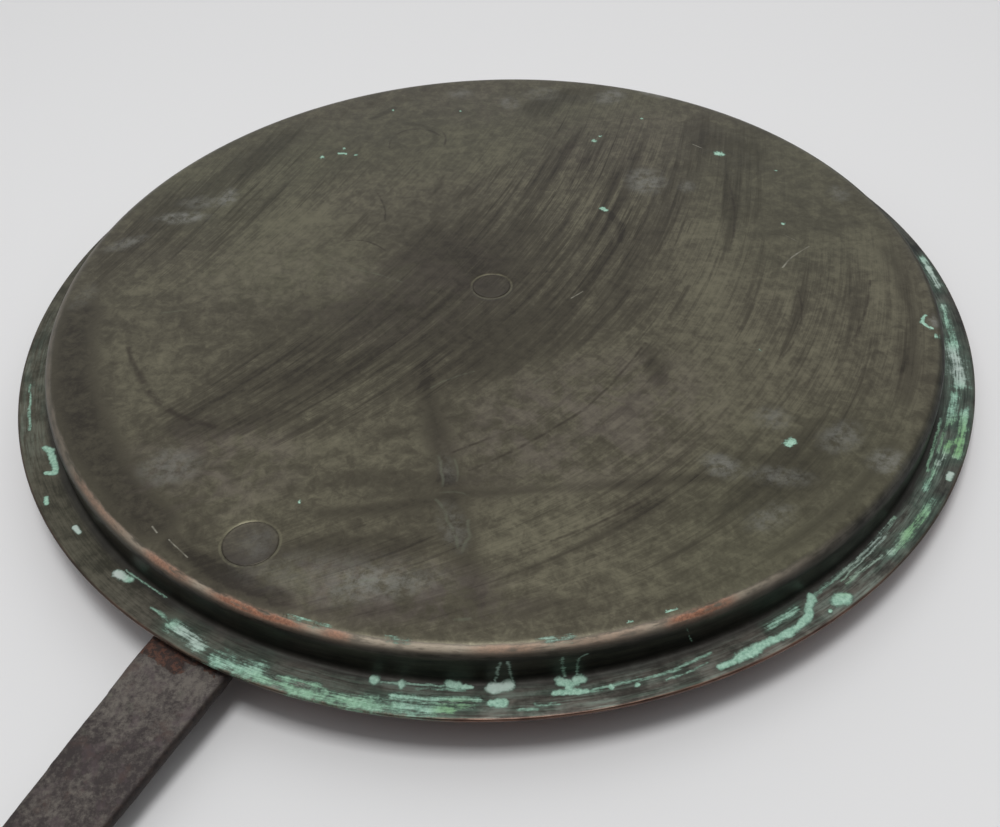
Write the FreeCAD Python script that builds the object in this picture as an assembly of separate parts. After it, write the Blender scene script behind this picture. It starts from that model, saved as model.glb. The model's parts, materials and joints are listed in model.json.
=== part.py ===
import FreeCAD, Part
import math
import os

from FreeCAD import Placement, Rotation, Vector

# Copper saucepan lid with a riveted iron strap handle. It lies upside down on a table, as it is
# put down in use: the plug that drops into the pan faces up, the far edge of the rim and the end
# of the handle touch the table.
#
# All sizes are in millimetres. The pieces are drawn in the lid's own axes first: the origin is
# the lid's centre in the plane of the flange's seating face, +Z points out of the pan side of the
# lid and +X runs along the handle. One turn and one shift then lay the whole lid on the table.

# Lid sheet
lid_radius = 192.0              # outer edge of the flange
sheet = 1.5                     # thickness of the copper
plug_radius = 178.4             # wall that drops into a 36 cm pan
plug_height = 15.3              # seating face of the flange to the face of the plug
plug_edge_radius = 3.2          # round edge of the plug, measured outside
flange_bend_radius = 1.6        # inside of the bend between wall and flange
rim_chamfer = 0.4               # filed edge of the rim

# Rivets, copper, hammered flush on the pan side and left with a low head on the handle side
centre_rivet_face = 15.4        # diameter of the flush face
centre_rivet_shank = 8.0
centre_rivet_head = 14.0
centre_rivet_crown = 7.0        # flat that the hammer left on top of the head
centre_rivet_head_height = 3.0
edge_rivet_inset = 23.4         # the plug's wall to the centre of the outer rivet
edge_rivet_face = 18.7
edge_rivet_shank = 10.0
edge_rivet_head = 16.0
edge_rivet_crown = 8.5
edge_rivet_head_height = 3.6
countersink_angle = 90.0        # full angle of the cone under the flush face
rivet_fit = 0.05                # gap between a rivet and its hole

# Strap handle, forged from flat iron
handle_length = 192.0           # rim to the end of the hanging eye
strap_thickness = 5.0
eye_thickness = 4.2             # the strap is drawn thinner towards the eye
strap_width = 31.2              # at the step inside the plug, where it is widest
neck_width = 20.5               # just before the eye
tip_width = 25.0                # across the round tip at the centre rivet
tip_reach = 16.0                # centre rivet to the end of the tip
shoulder_radius = 500.0         # eases the widest place of the strap
flange_gap = 0.77               # strap to the back of the flange, at the plug's wall
strap_slope = 6.55              # degrees, strap away from the plane of the flange
step_angle = 74.0               # degrees, of the step down past the plug's wall
step_gap = 1.5                  # strap to the inside of the wall
bend_radius = 3.0               # inside of the strap's bends
strap_edge_chamfer = 0.9        # long edges hammered blunt
eye_radius = 17.0
eye_bore = 16.0                 # diameter of the hole it hangs from
eye_bore_chamfer = 0.6
flare_radius = 24.0             # hollow curve from the strap into the eye

# Faces and places that several pieces share
plug_inner = plug_radius - sheet
plug_back = plug_height - sheet
flange_back = -sheet
edge_rivet_at = plug_radius - edge_rivet_inset
handle_reach = lid_radius + handle_length
slope = math.radians(strap_slope)
step = math.radians(step_angle)
CUT_MARGIN = 5.0                # how far a cutting or crossing shape runs past what it meets
FLAT_FOR_ROUND = 2 - math.sqrt(2)   # corner cut, per radius, whose flat touches that round


def on_side(point):
    """A point of the side view, (along the handle, up), as a vector."""
    return Vector(point[0], 0, point[1])


def on_plan(point):
    """A point of the plan, (along the handle, across), as a vector."""
    return Vector(point[0], point[1], 0)


def meet(a, a_dir, b, b_dir):
    """The point where two lines of one plane meet, each given as a point and a direction."""
    cross = a_dir[0] * b_dir[1] - a_dir[1] * b_dir[0]
    along = ((b[0] - a[0]) * b_dir[1] - (b[1] - a[1]) * b_dir[0]) / cross
    return (a[0] + along * a_dir[0], a[1] + along * a_dir[1])


def arc(centre, radius, start, end, place):
    """An arc edge from one angle to another, in degrees, laid down by on_side or on_plan."""
    def at(angle):
        turn = math.radians(angle)
        return place((centre[0] + radius * math.cos(turn), centre[1] + radius * math.sin(turn)))
    return Part.Arc(at(start), at((start + end) / 2), at(end)).toShape()


def rounded_face(corners, place):
    """A face from (x, y, radius) corners in order, each rounded by a tangent arc."""
    count = len(corners)
    spans = []
    for i, (x, y, radius) in enumerate(corners):
        here = place((x, y))
        before = place(corners[i - 1][:2]) - here
        after = place(corners[(i + 1) % count][:2]) - here
        before.normalize()
        after.normalize()
        if not radius:
            spans.append((here, None, here))
            continue
        half = before.getAngle(after) / 2
        reach = radius / math.tan(half)
        inward = before + after
        inward.normalize()
        middle = here + inward * (radius / math.sin(half) - radius)
        spans.append((here + before * reach, middle, here + after * reach))
    edges = []
    for i, (first, middle, last) in enumerate(spans):
        if middle is not None:
            edges.append(Part.Arc(first, middle, last).toShape())
        edges.append(Part.LineSegment(last, spans[(i + 1) % count][0]).toShape())
    return Part.Face(Part.Wire(edges))


def revolved(face):
    """The solid that a side-view face sweeps round the lid's axis."""
    return face.revolve(Vector(0, 0, 0), Vector(0, 0, 1), 360)


def countersunk_depth(face, shank):
    """How deep the cone of a rivet reaches below its flush face."""
    return (face - shank) / 2 / math.tan(math.radians(countersink_angle / 2))


def rivet_hole(face, shank, at):
    """The tool that cuts one rivet's countersunk hole through the sheet and the strap."""
    mouth = face / 2 + rivet_fit
    bore = shank / 2 + rivet_fit
    depth = countersunk_depth(face, shank)
    flare = CUT_MARGIN * math.tan(math.radians(countersink_angle / 2))
    corners = [
        (0, plug_height + CUT_MARGIN, 0),
        (mouth + flare, plug_height + CUT_MARGIN, 0),
        (bore, plug_height - depth, 0),
        (bore, plug_back - strap_thickness - CUT_MARGIN, 0),
        (0, plug_back - strap_thickness - CUT_MARGIN, 0),
    ]
    tool = revolved(rounded_face(corners, on_side))
    tool.translate(Vector(at, 0, 0))
    return tool


def rivet_holes():
    """Both rivets' cutting tools."""
    return [
        rivet_hole(centre_rivet_face, centre_rivet_shank, 0),
        rivet_hole(edge_rivet_face, edge_rivet_shank, edge_rivet_at),
    ]


def rivet(face, shank, head, crown, head_height, at):
    """A rivet: flush countersunk face, shank through sheet and strap, hammered head on the strap."""
    seat = plug_back - strap_thickness
    depth = countersunk_depth(face, shank)
    corners = [
        (0, plug_height, 0),
        (face / 2, plug_height, 0),
        (shank / 2, plug_height - depth, 0),
        (shank / 2, seat, 0),
        (head / 2, seat, 0),
        (crown / 2, seat - head_height, 0),
        (0, seat - head_height, 0),
    ]
    solid = revolved(rounded_face(corners, on_side))
    solid.translate(Vector(at, 0, 0))
    return solid


def lid_sheet():
    """The lid: one copper sheet with a raised plug, a round plug edge and a flat flange.

    The side that shows has true rounds. Behind each of them one flat touches the same bend.
    """
    bend_cut = FLAT_FOR_ROUND * (flange_bend_radius + sheet)
    edge_cut = FLAT_FOR_ROUND * (plug_edge_radius - sheet)
    corners = [
        (0, plug_height, 0),
        (plug_radius, plug_height, plug_edge_radius),
        (plug_radius, 0, flange_bend_radius),
        (lid_radius - rim_chamfer, 0, 0),
        (lid_radius, -rim_chamfer, 0),
        (lid_radius, flange_back + rim_chamfer, 0),
        (lid_radius - rim_chamfer, flange_back, 0),
        (plug_inner + bend_cut, flange_back, 0),
        (plug_inner, flange_back + bend_cut, 0),
        (plug_inner, plug_back - edge_cut, 0),
        (plug_inner - edge_cut, plug_back, 0),
        (0, plug_back, 0),
    ]
    solid = revolved(rounded_face(corners, on_side))
    return solid.cut(rivet_holes())


def strap_lines():
    """Corner points of the strap's upper and lower faces in the side view, tip to end."""
    down = (math.cos(step), -math.sin(step))
    out = (math.cos(slope), -math.sin(slope))
    wall_point = (plug_inner, flange_back - flange_gap)
    foot_radius = plug_inner - step_gap
    foot_along = math.sqrt(foot_radius ** 2 - (strap_width / 2) ** 2)
    foot = meet(wall_point, out, (foot_along, 0), (0, 1))
    head = meet((0, plug_back), (1, 0), foot, down)
    run = (handle_reach - foot[0]) / out[0]
    end = (foot[0] + run * out[0], foot[1] + run * out[1])
    upper = [(-tip_reach, plug_back), head, foot, end]

    seat = plug_back - strap_thickness
    below_head = (head[0] - strap_thickness * math.sin(step), head[1] - strap_thickness * down[0])
    low_head = meet((0, seat), (1, 0), below_head, down)
    below_foot = (foot[0] - strap_thickness * math.sin(slope), foot[1] - strap_thickness * out[0])
    low_end = (end[0] - eye_thickness * math.sin(slope), end[1] - eye_thickness * out[0])
    thin = (low_end[0] - below_foot[0], low_end[1] - below_foot[1])
    low_foot = meet(below_head, down, below_foot, thin)
    lower = [(-tip_reach, seat), low_head, low_foot, low_end]
    return upper, lower


def strap_side_view():
    """The strap's bent bar seen from the side, longer than the plan at both ends."""
    upper, lower = strap_lines()
    outer = bend_radius + strap_thickness

    def run_on(line):
        (x0, z0), (x1, z1) = line
        scale = CUT_MARGIN / math.hypot(x1 - x0, z1 - z0)
        return (x1 + scale * (x1 - x0), z1 + scale * (z1 - z0), 0)

    corners = [
        (upper[0][0] - CUT_MARGIN, upper[0][1], 0),
        (upper[1][0], upper[1][1], outer),
        (upper[2][0], upper[2][1], bend_radius),
        run_on(upper[2:]),
        run_on(lower[2:]),
        (lower[2][0], lower[2][1], outer),
        (lower[1][0], lower[1][1], bend_radius),
        (lower[0][0] - CUT_MARGIN, lower[0][1], 0),
    ]
    width = strap_width + 2 * eye_radius
    bar = rounded_face(corners, on_side)
    bar.translate(Vector(0, -width / 2, 0))
    return bar.extrude(Vector(0, width, 0))


def strap_plan():
    """The strap's outline from above: round tip, widest at the step, hollow flare, round eye."""
    upper, _ = strap_lines()
    widest = (upper[2][0], strap_width / 2)
    eye = (handle_reach - eye_radius, 0)
    tip_radius = tip_width / 2
    tip = (tip_radius - tip_reach, 0)

    # The side of the leg touches the round tip.
    reach = math.hypot(widest[0] - tip[0], widest[1])
    rise = math.atan2(widest[1], widest[0] - tip[0]) - math.asin(tip_radius / reach)
    leg_start = (tip[0] - tip_radius * math.sin(rise), tip_radius * math.cos(rise))

    # The side of the outer run narrows in a straight line to the neck, short of the eye.
    neck = (eye[0] - eye_radius, neck_width / 2)
    run_dir = (neck[0] - widest[0], neck[1] - widest[1])
    run_length = math.hypot(*run_dir)
    run_dir = (run_dir[0] / run_length, run_dir[1] / run_length)
    normal = (-run_dir[1], run_dir[0])

    # The hollow flare touches that side and the eye from outside.
    eye_height = (eye[0] - widest[0]) * normal[0] + (eye[1] - widest[1]) * normal[1]
    across = flare_radius - eye_height
    back = math.sqrt((flare_radius + eye_radius) ** 2 - across ** 2)
    eye_along = (eye[0] - widest[0]) * run_dir[0] + (eye[1] - widest[1]) * run_dir[1]
    along = eye_along - back
    flare_start = (widest[0] + along * run_dir[0], widest[1] + along * run_dir[1])
    flare = (flare_start[0] + flare_radius * normal[0], flare_start[1] + flare_radius * normal[1])
    to_flare = math.degrees(math.atan2(flare[1] - eye[1], flare[0] - eye[0]))
    flare_from = math.degrees(math.atan2(-normal[1], -normal[0]))

    # The shoulder arc eases the corner at the widest place.
    leg_turn = math.atan2(widest[1] - leg_start[1], widest[0] - leg_start[0])
    run_turn = math.atan2(run_dir[1], run_dir[0])
    cut_back = shoulder_radius * math.tan((leg_turn - run_turn) / 2)
    shoulder_in = (widest[0] - cut_back * math.cos(leg_turn), widest[1] - cut_back * math.sin(leg_turn))
    shoulder_out = (widest[0] + cut_back * run_dir[0], widest[1] + cut_back * run_dir[1])
    shoulder = (
        shoulder_in[0] + shoulder_radius * math.sin(leg_turn),
        shoulder_in[1] - shoulder_radius * math.cos(leg_turn),
    )

    def side(flip):
        """The edges of one long side from tip to eye, mirrored where flip is -1."""
        def place(point):
            return Vector(point[0], flip * point[1], 0)
        return [
            Part.LineSegment(place(leg_start), place(shoulder_in)).toShape(),
            arc(shoulder, shoulder_radius, 90 + math.degrees(leg_turn), 90 + math.degrees(run_turn), place),
            Part.LineSegment(place(shoulder_out), place(flare_start)).toShape(),
            arc(flare, flare_radius, flare_from, to_flare - 180, place),
        ]

    tip_turn = 90 + math.degrees(rise)
    edges = side(1) + [arc(eye, eye_radius, to_flare, -to_flare, on_plan)]
    edges += side(-1) + [arc(tip, tip_radius, tip_turn, 360 - tip_turn, on_plan)]
    outline = Part.Face(Part.Wire(Part.__sortEdges__(edges)))
    low = -handle_reach
    outline.translate(Vector(0, 0, low))
    return outline.extrude(Vector(0, 0, 2 * handle_reach))


def long_edges(solid):
    """The edges that run round the strap's upper and lower faces."""
    chosen = []
    for edge in solid.Edges:
        if isinstance(edge.Curve, Part.Line):
            direction = edge.Curve.Direction
            if abs(direction.y) > 0.999 or abs(direction.z) > 0.999:
                continue
        chosen.append(edge)
    return chosen


def eye_bore_tool():
    """The round hole of the hanging eye, square to the strap, with its worn mouths."""
    upper, _ = strap_lines()
    centre_along = handle_reach - eye_radius
    foot = upper[2]
    top = Vector(centre_along, 0, foot[1] - (centre_along - foot[0]) * math.tan(slope))
    radius = eye_bore / 2
    middle = -eye_thickness / 2
    half = eye_thickness / 2
    mouth = radius + eye_bore_chamfer
    past = half + CUT_MARGIN
    wide = mouth + past - half
    corners = [
        (0, middle + past, 0),
        (wide, middle + past, 0),
        (mouth, middle + half, 0),
        (radius, middle + half - eye_bore_chamfer, 0),
        (radius, middle - half + eye_bore_chamfer, 0),
        (mouth, middle - half, 0),
        (wide, middle - past, 0),
        (0, middle - past, 0),
    ]
    tool = revolved(rounded_face(corners, on_side))
    tool.Placement = Placement(top, Rotation(Vector(0, 1, 0), strap_slope))
    return tool


def strap_handle():
    """The iron handle: flat strap in the sunk top, stepped out under the flange, hanging eye."""
    solid = strap_side_view().common(strap_plan()).Solids[0]
    solid = solid.makeChamfer(strap_edge_chamfer, long_edges(solid))
    return solid.cut(rivet_holes() + [eye_bore_tool()])


def resting_place():
    """How the lid lies: the far edge of the rim and the end of the handle touch the table.

    In the side view the table is the line through the lowest corner of the rim, inside its
    chamfer, and that of the eye. The turn levels this line and the lift brings it to zero.
    """
    _, lower = strap_lines()
    (foot_x, foot_z), (end_x, end_z) = lower[2:]
    fall = (foot_z - end_z) / (end_x - foot_x)
    rim = (rim_chamfer - lid_radius, flange_back)
    corner_x = handle_reach - strap_edge_chamfer
    corner = (corner_x, end_z + (end_x - corner_x) * fall)
    turn = math.atan2(corner[1] - rim[1], corner[0] - rim[0])
    lift = rim[0] * math.sin(turn) - rim[1] * math.cos(turn)
    return turn, lift


def laid_down(pieces):
    """The pieces turned to lie on the table, centred over the origin."""
    turn, lift = resting_place()
    rotation = Rotation(Vector(0, 1, 0), math.degrees(turn))

    def placed(base):
        lie = Placement(base, rotation)
        laid = {}
        for name, piece in pieces.items():
            laid[name] = piece.copy()
            laid[name].Placement = lie.multiply(piece.Placement)
        return laid

    box = Part.makeCompound(list(placed(Vector(0, 0, lift)).values())).optimalBoundingBox()
    base = Vector(-box.Center.x, 0, lift)
    print("turned by", round(math.degrees(turn), 5), "degrees, moved by", base)
    return placed(base)


def main():
    pieces = {
        "lid_sheet": lid_sheet(),
        "strap_handle": strap_handle(),
        "centre_rivet": rivet(
            centre_rivet_face, centre_rivet_shank,
            centre_rivet_head, centre_rivet_crown, centre_rivet_head_height, 0,
        ),
        "edge_rivet": rivet(
            edge_rivet_face, edge_rivet_shank,
            edge_rivet_head, edge_rivet_crown, edge_rivet_head_height, edge_rivet_at,
        ),
    }
    os.makedirs("parts", exist_ok=True)
    for name, piece in laid_down(pieces).items():
        piece.exportStep(f"parts/{name}.step")
        print(name, "valid", piece.isValid(), "solids", len(piece.Solids), f"{piece.Volume / 1000:.2f} cm3")


main()
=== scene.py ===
import json
import math
from functools import partial, partialmethod

import bpy
import numpy as np
from mathutils import Matrix, Vector
from mathutils import noise as solid_noise


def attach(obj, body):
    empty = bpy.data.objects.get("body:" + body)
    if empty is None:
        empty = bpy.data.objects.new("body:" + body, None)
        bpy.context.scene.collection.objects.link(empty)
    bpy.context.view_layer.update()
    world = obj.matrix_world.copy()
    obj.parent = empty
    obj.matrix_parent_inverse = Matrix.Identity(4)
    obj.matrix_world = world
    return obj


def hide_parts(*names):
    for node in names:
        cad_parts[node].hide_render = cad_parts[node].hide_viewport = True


# Copper saucepan lid lying upside down on a pale table, its tinned side up.
#
# Two sets of axes are used besides the row frame, both in millimetres with their origin at the
# lid's centre in the plane of the flange and +Z out of the tinned side.
# Lid axes: +X runs along the handle, as in the CAD source. The meshes are built in these.
# View axes: +X to the right and +Y away from the viewer. Marks on the metal are placed in these.

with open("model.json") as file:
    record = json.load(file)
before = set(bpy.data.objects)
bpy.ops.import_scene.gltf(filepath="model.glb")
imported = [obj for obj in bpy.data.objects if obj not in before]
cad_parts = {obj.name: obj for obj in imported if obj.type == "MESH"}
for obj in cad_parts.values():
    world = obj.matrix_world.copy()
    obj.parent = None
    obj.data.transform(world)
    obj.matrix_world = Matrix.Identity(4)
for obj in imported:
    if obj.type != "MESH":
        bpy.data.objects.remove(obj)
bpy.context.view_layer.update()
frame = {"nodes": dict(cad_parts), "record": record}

MM = 0.001
LID_RADIUS = 192
SHEET = 1.5
PLUG_RADIUS = 178.4
PLUG_HEIGHT = 15.3
EDGE_ROUND = 4.6         # worn rounder than the sheet's inside
INNER_ROUND = 1.7
BEND_ROUND = 1.6
RIM_ROUND = 0.55
PLATE_END = PLUG_RADIUS - EDGE_ROUND
INNER_WALL = PLUG_RADIUS - SHEET
PLATE_BACK = PLUG_HEIGHT - SHEET
STRAP = 5
EDGE_RIVET_AT = 155
RIVET_GAP = 0.05
HANDLE_TURN = math.radians(-122.03)     # the handle's direction in view axes
LEAST_SQUARE = 1e-4      # keeps a stroke of no length from a division by zero
RIVET_PLACE = (EDGE_RIVET_AT * math.cos(HANDLE_TURN), EDGE_RIVET_AT * math.sin(HANDLE_TURN))

# Axes

plug = next(m for m in frame["record"]["mounts"] if m["name"] == "plug")
PLUG_MIDDLE = (PLUG_HEIGHT - BEND_ROUND) / 2     # the mount's height in lid axes
up = Vector(plug["axis"]).normalized()
along = Vector((0, 1, 0)).cross(up).normalized()
centre = Vector(plug["pos_m"]) - up * PLUG_MIDDLE * MM
LID = Matrix((along, (0, 1, 0), up)).transposed().to_4x4() @ Matrix.Scale(MM, 4)
LID = Matrix.Translation(centre) @ LID
VIEW = LID @ Matrix.Rotation(-HANDLE_TURN, 4, "Z")


def view_from_lid(points):
    """Lid axes to view axes."""
    c, s = math.cos(HANDLE_TURN), math.sin(HANDLE_TURN)
    x, y = points[:, 0], points[:, 1]
    return np.stack([x * c - y * s, x * s + y * c, points[:, 2]], 1)


# The swirl's direction in radians is the real part of a + b t + c t t, where t is the place on the
# plate as a complex number, per 100 mm
SWIRL = (0.9937, 0.1106 - 0.2719j, 0.0879 + 0.0142j)
SWIRL_STEPS = 24


def flow(points):
    """Coordinates along and across the swirl that a wiping cloth left, per 100 mm."""
    a, b, c = SWIRL
    z = (points[:, 0] + 1j * points[:, 1]) / 100
    w = np.zeros_like(z)
    for k in range(SWIRL_STEPS):
        t = (k + 0.5) / SWIRL_STEPS * z
        w += np.exp(-1j * (a + b * t + c * t * t)) * z / SWIRL_STEPS
    return np.stack([w.real, w.imag, points[:, 2] / 100], 1)


def ellipses(points, rows):
    """Sum of soft ellipses in the plane: (x, y, half length, half width, degrees, strength)."""
    total = np.zeros(len(points))
    for cx, cy, rx, ry, tilt, power in rows:
        c, s = math.cos(math.radians(tilt)), math.sin(math.radians(tilt))
        dx, dy = points[:, 0] - cx, points[:, 1] - cy
        share = np.clip(1 - ((dx * c + dy * s) / rx) ** 2 - ((dy * c - dx * s) / ry) ** 2, 0, 1)
        total += power * share * share * (3 - 2 * share)
    return total


def legs(places):
    """The stretches of a stroke. A single place is a stretch of no length."""
    return list(zip(places, places[1:])) or [(places[0], places[0])]


def near_strokes(points, rows):
    """A stroke's strength on its line, 0 at its half width and less beyond: the most of them all."""
    most = np.full(len(points), -9)
    for width, places, *power in rows:
        for a, b in np.array(legs(places)):
            run = b - a
            share = np.clip((points - a) @ run / (run @ run + LEAST_SQUARE), 0, 1)
            away = np.linalg.norm(points - a - share[:, None] * run, axis=1)
            most = np.maximum(most, (power[0] if power else 1) * (1 - away / width))
    return most


# Meshes

def wander(points, size, seed):
    """Smooth noise from -1 to 1 at each point, with bumps about size millimetres wide."""
    shift = Vector((seed * 17.3, seed * 5.1, seed * 9.7))
    return np.array([solid_noise.noise(Vector(p) / size + shift) for p in points])


def linked(name, data):
    """A new object in the scene."""
    obj = bpy.data.objects.new(name, data)
    bpy.context.scene.collection.objects.link(obj)
    return obj


def make_piece(name, verts, faces, zones, materials, side=None):
    """A mesh from lid-axes points, with the attributes that the materials read."""
    mesh = bpy.data.meshes.new(name)
    row = np.array(LID)
    verts = np.asarray(verts, float)
    mesh.from_pydata((verts @ row[:3, :3].T + row[:3, 3]).tolist(), [], faces)
    for material in materials:
        mesh.materials.append(material)
    mesh.polygons.foreach_set("material_index", np.asarray(zones, np.int32))
    mesh.polygons.foreach_set("use_smooth", np.ones(len(faces), bool))
    seen = view_from_lid(verts)
    fields = {
        "spot": seen.T,
        "swirl": flow(seen).T,
        "tone": [ellipses(seen, rows) for rows in (LIGHTER, OLIVE, VIOLET)],
        "wear": [ellipses(seen, COMBED), 1 - np.exp(-ellipses(seen, DARKER)), ellipses(seen, BLOOM)],
        "marks": [near_strokes(seen, STAINS), near_strokes(seen, BROKEN), ellipses(seen, GREENED)],
        "tint": [ellipses(seen, rows) for rows in (WHITED, LIMED, COPPERED)],
    }
    if side is not None:
        fields["side"] = [side] * 3
    for label, values in fields.items():
        attribute = mesh.attributes.new(label, "FLOAT_VECTOR", "POINT")
        attribute.data.foreach_set("vector", np.stack(values, 1).astype(np.float32).ravel())
    mesh.validate()
    mesh.update()
    obj = linked(name, mesh)
    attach(obj, "root")
    return obj


def arc_points(cx, cz, radius, start, end, count):
    """Profile points on an arc, both ends included, angles in degrees."""
    turns = np.radians(np.linspace(start, end, count))
    return [(cx + radius * math.cos(t), cz + radius * math.sin(t)) for t in turns]


def line_points(a, b, count):
    """Profile points strictly between a and b."""
    return [(a[0] + (b[0] - a[0]) * k / (count + 1), a[1] + (b[1] - a[1]) * k / (count + 1))
            for k in range(1, count + 1)]


PLATE, SKIRT, BACK = 0, 1, 2     # zones of the lid; the skirt is edge, wall and flange
SEGMENTS = 600
PLATE_RINGS = 67
BACK_RINGS = 33
CENTRE_FACE = 7.7
CENTRE_SHANK = 4
CENTRE_HEAD = (7, 3)     # radius and height
EDGE_FACE = 9.35
EDGE_SHANK = 5
EDGE_HEAD = (8, 3.6)
VOXEL = 0.85     # of the remeshed handle


def lid_profile():
    """(radius, height) round the sheet: plate, edge, wall, flange, rim and the back of them."""
    mouth = CENTRE_FACE + RIVET_GAP
    top = [(mouth, PLUG_HEIGHT)]
    top += line_points(top[0], (PLATE_END, PLUG_HEIGHT), PLATE_RINGS - 1)
    top += arc_points(PLATE_END, PLUG_HEIGHT - EDGE_ROUND, EDGE_ROUND, 90, 0, 10)
    wall_top = (PLUG_RADIUS, PLUG_HEIGHT - EDGE_ROUND)
    bend = (PLUG_RADIUS + BEND_ROUND, BEND_ROUND)
    top += line_points(wall_top, (PLUG_RADIUS, BEND_ROUND), 6)
    top += arc_points(*bend, BEND_ROUND, 180, 270, 6)
    top += line_points((bend[0], 0), (LID_RADIUS - RIM_ROUND, 0), 13)
    top += arc_points(LID_RADIUS - RIM_ROUND, -RIM_ROUND, RIM_ROUND, 90, 0, 4)
    back = arc_points(LID_RADIUS - RIM_ROUND, RIM_ROUND - SHEET, RIM_ROUND, 0, -90, 4)
    back += line_points((LID_RADIUS - RIM_ROUND, -SHEET), (bend[0], -SHEET), 4)
    back += arc_points(*bend, BEND_ROUND + SHEET, 270, 180, 6)
    corner = (INNER_WALL - INNER_ROUND, PLATE_BACK - INNER_ROUND)
    back += line_points((INNER_WALL, BEND_ROUND), (INNER_WALL, corner[1]), 3)
    back += arc_points(*corner, INNER_ROUND, 0, 90, 5)
    back += line_points((corner[0], PLATE_BACK), (mouth - SHEET, PLATE_BACK), BACK_RINGS - 1)
    back += [(mouth - SHEET, PLATE_BACK)]
    return top, back


def round_hole(verts, faces, zones, loop, mouth, height, layers=6):
    """Fills the ring between a loop of grid points and a round hole. Returns the hole's points."""
    count = len(loop)
    turns = 2 * math.pi * np.arange(count) / count
    hole = np.stack([EDGE_RIVET_AT + mouth * np.cos(turns), mouth * np.sin(turns),
                     np.full(count, height)], 1)
    border = np.array([verts[i] for i in loop])
    last = loop
    for k in range(1, layers + 1):
        share = k / layers
        start = len(verts)
        verts.extend((border * (1 - share) + hole * share).tolist())
        ring = list(range(start, start + count))
        for a in range(count):
            b = (a + 1) % count
            faces.append((last[a], last[b], ring[b], ring[a]))
            zones.append(PLATE)
        last = ring
    return last


def lid_mesh():
    """The lid's sheet as a turned grid, with a round hole let into the grid for the outer rivet."""
    top, back = lid_profile()
    profile = top + back
    turns = 2 * math.pi * np.arange(SEGMENTS) / SEGMENTS
    verts = [(r * math.cos(t), r * math.sin(t), z) for r, z in profile for t in turns]
    rows = len(profile)

    def at(i, j):
        return (i % rows) * SEGMENTS + j % SEGMENTS

    def block(reach, height, half):
        """First and last grid ring of the block round the hole, and its half width in segments."""
        level = [i for i, (_, z) in enumerate(profile) if abs(z - height) < 0.01]
        ends = [min(level, key=lambda i: abs(profile[i][0] - radius))
                for radius in (EDGE_RIVET_AT - reach, EDGE_RIVET_AT + reach)]
        return min(ends), max(ends), half

    plate_block = block(12.5, PLUG_HEIGHT, 8)
    back_block = block(15, PLATE_BACK, 10)
    cut = set()
    for low, high, half in (plate_block, back_block):
        cut.update((i, j % SEGMENTS) for i in range(low, high) for j in range(-half, half))

    faces, zones = [], []
    for i in range(rows):
        zone = PLATE if i < PLATE_RINGS or i == rows - 1 else SKIRT if i <= len(top) else BACK
        for j in range(SEGMENTS):
            if (i, j) not in cut:
                faces.append((at(i, j), at(i + 1, j), at(i + 1, j + 1), at(i, j + 1)))
                zones.append(zone)

    def loop(low, high, half):
        """The block's border from its outermost middle point, turning from +X to +Y."""
        outer, inner = (high, low) if profile[high][0] > profile[low][0] else (low, high)
        step = 1 if inner > outer else -1
        path = [(outer, j) for j in range(0, half)]
        path += [(i, half) for i in range(outer, inner, step)]
        path += [(inner, j) for j in range(half, -half, -1)]
        path += [(i, -half) for i in range(inner, outer, -step)]
        path += [(outer, j) for j in range(-half, 0)]
        return [at(i, j) for i, j in path]

    mouth = EDGE_FACE + RIVET_GAP
    upper = round_hole(verts, faces, zones, loop(*plate_block), mouth, PLUG_HEIGHT)
    first_back = len(faces)
    lower = round_hole(verts, faces, zones, loop(*back_block), mouth - SHEET, PLATE_BACK)
    for k in range(first_back, len(faces)):
        faces[k] = tuple(reversed(faces[k]))
        zones[k] = BACK
    for a in range(len(upper)):
        b = (a + 1) % len(upper)
        faces.append((upper[a], upper[b], lower[b], lower[a]))
        zones.append(PLATE)
    used = sorted({i for face in faces for i in face})
    place = dict(zip(used, range(len(used))))
    return np.array(verts)[used], [tuple(place[i] for i in face) for face in faces], zones


def beaten(points):
    """The small unevenness of a sheet raised and planished by hand. The plate dips,
    the wall draws in and the rim lifts a little."""
    points = np.array(points, float)
    radius = np.hypot(points[:, 0], points[:, 1])
    turn = np.arctan2(points[:, 1], points[:, 0])
    flat = points * (1, 1, 0)
    plate = np.clip((PLATE_END - radius) / 12, 0, 1)
    dish = 0.16 * wander(flat, 95, 1) + 0.05 * wander(flat, 22, 2) - 0.21
    rim = np.clip((radius - PLUG_RADIUS - 2) / 10, 0, 1) ** 1.5
    clear = np.clip((math.pi - np.abs(turn)) / 0.5, 0, 1)
    lift = 0.3 + 0.2 * wander(flat, 120, 3) + 0.1 * wander(flat, 33, 4)
    points[:, 2] += plate * dish + rim * clear * lift
    wall = np.clip((radius - 150) / 25, 0, 1)
    shrink = 0.12 + 0.09 * wander(points, 60, 5) + 0.03 * wander(points, 9, 6)
    scale = 1 - wall * shrink / np.maximum(radius, 1)
    points[:, 0] *= scale
    points[:, 1] *= scale
    return points


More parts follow.
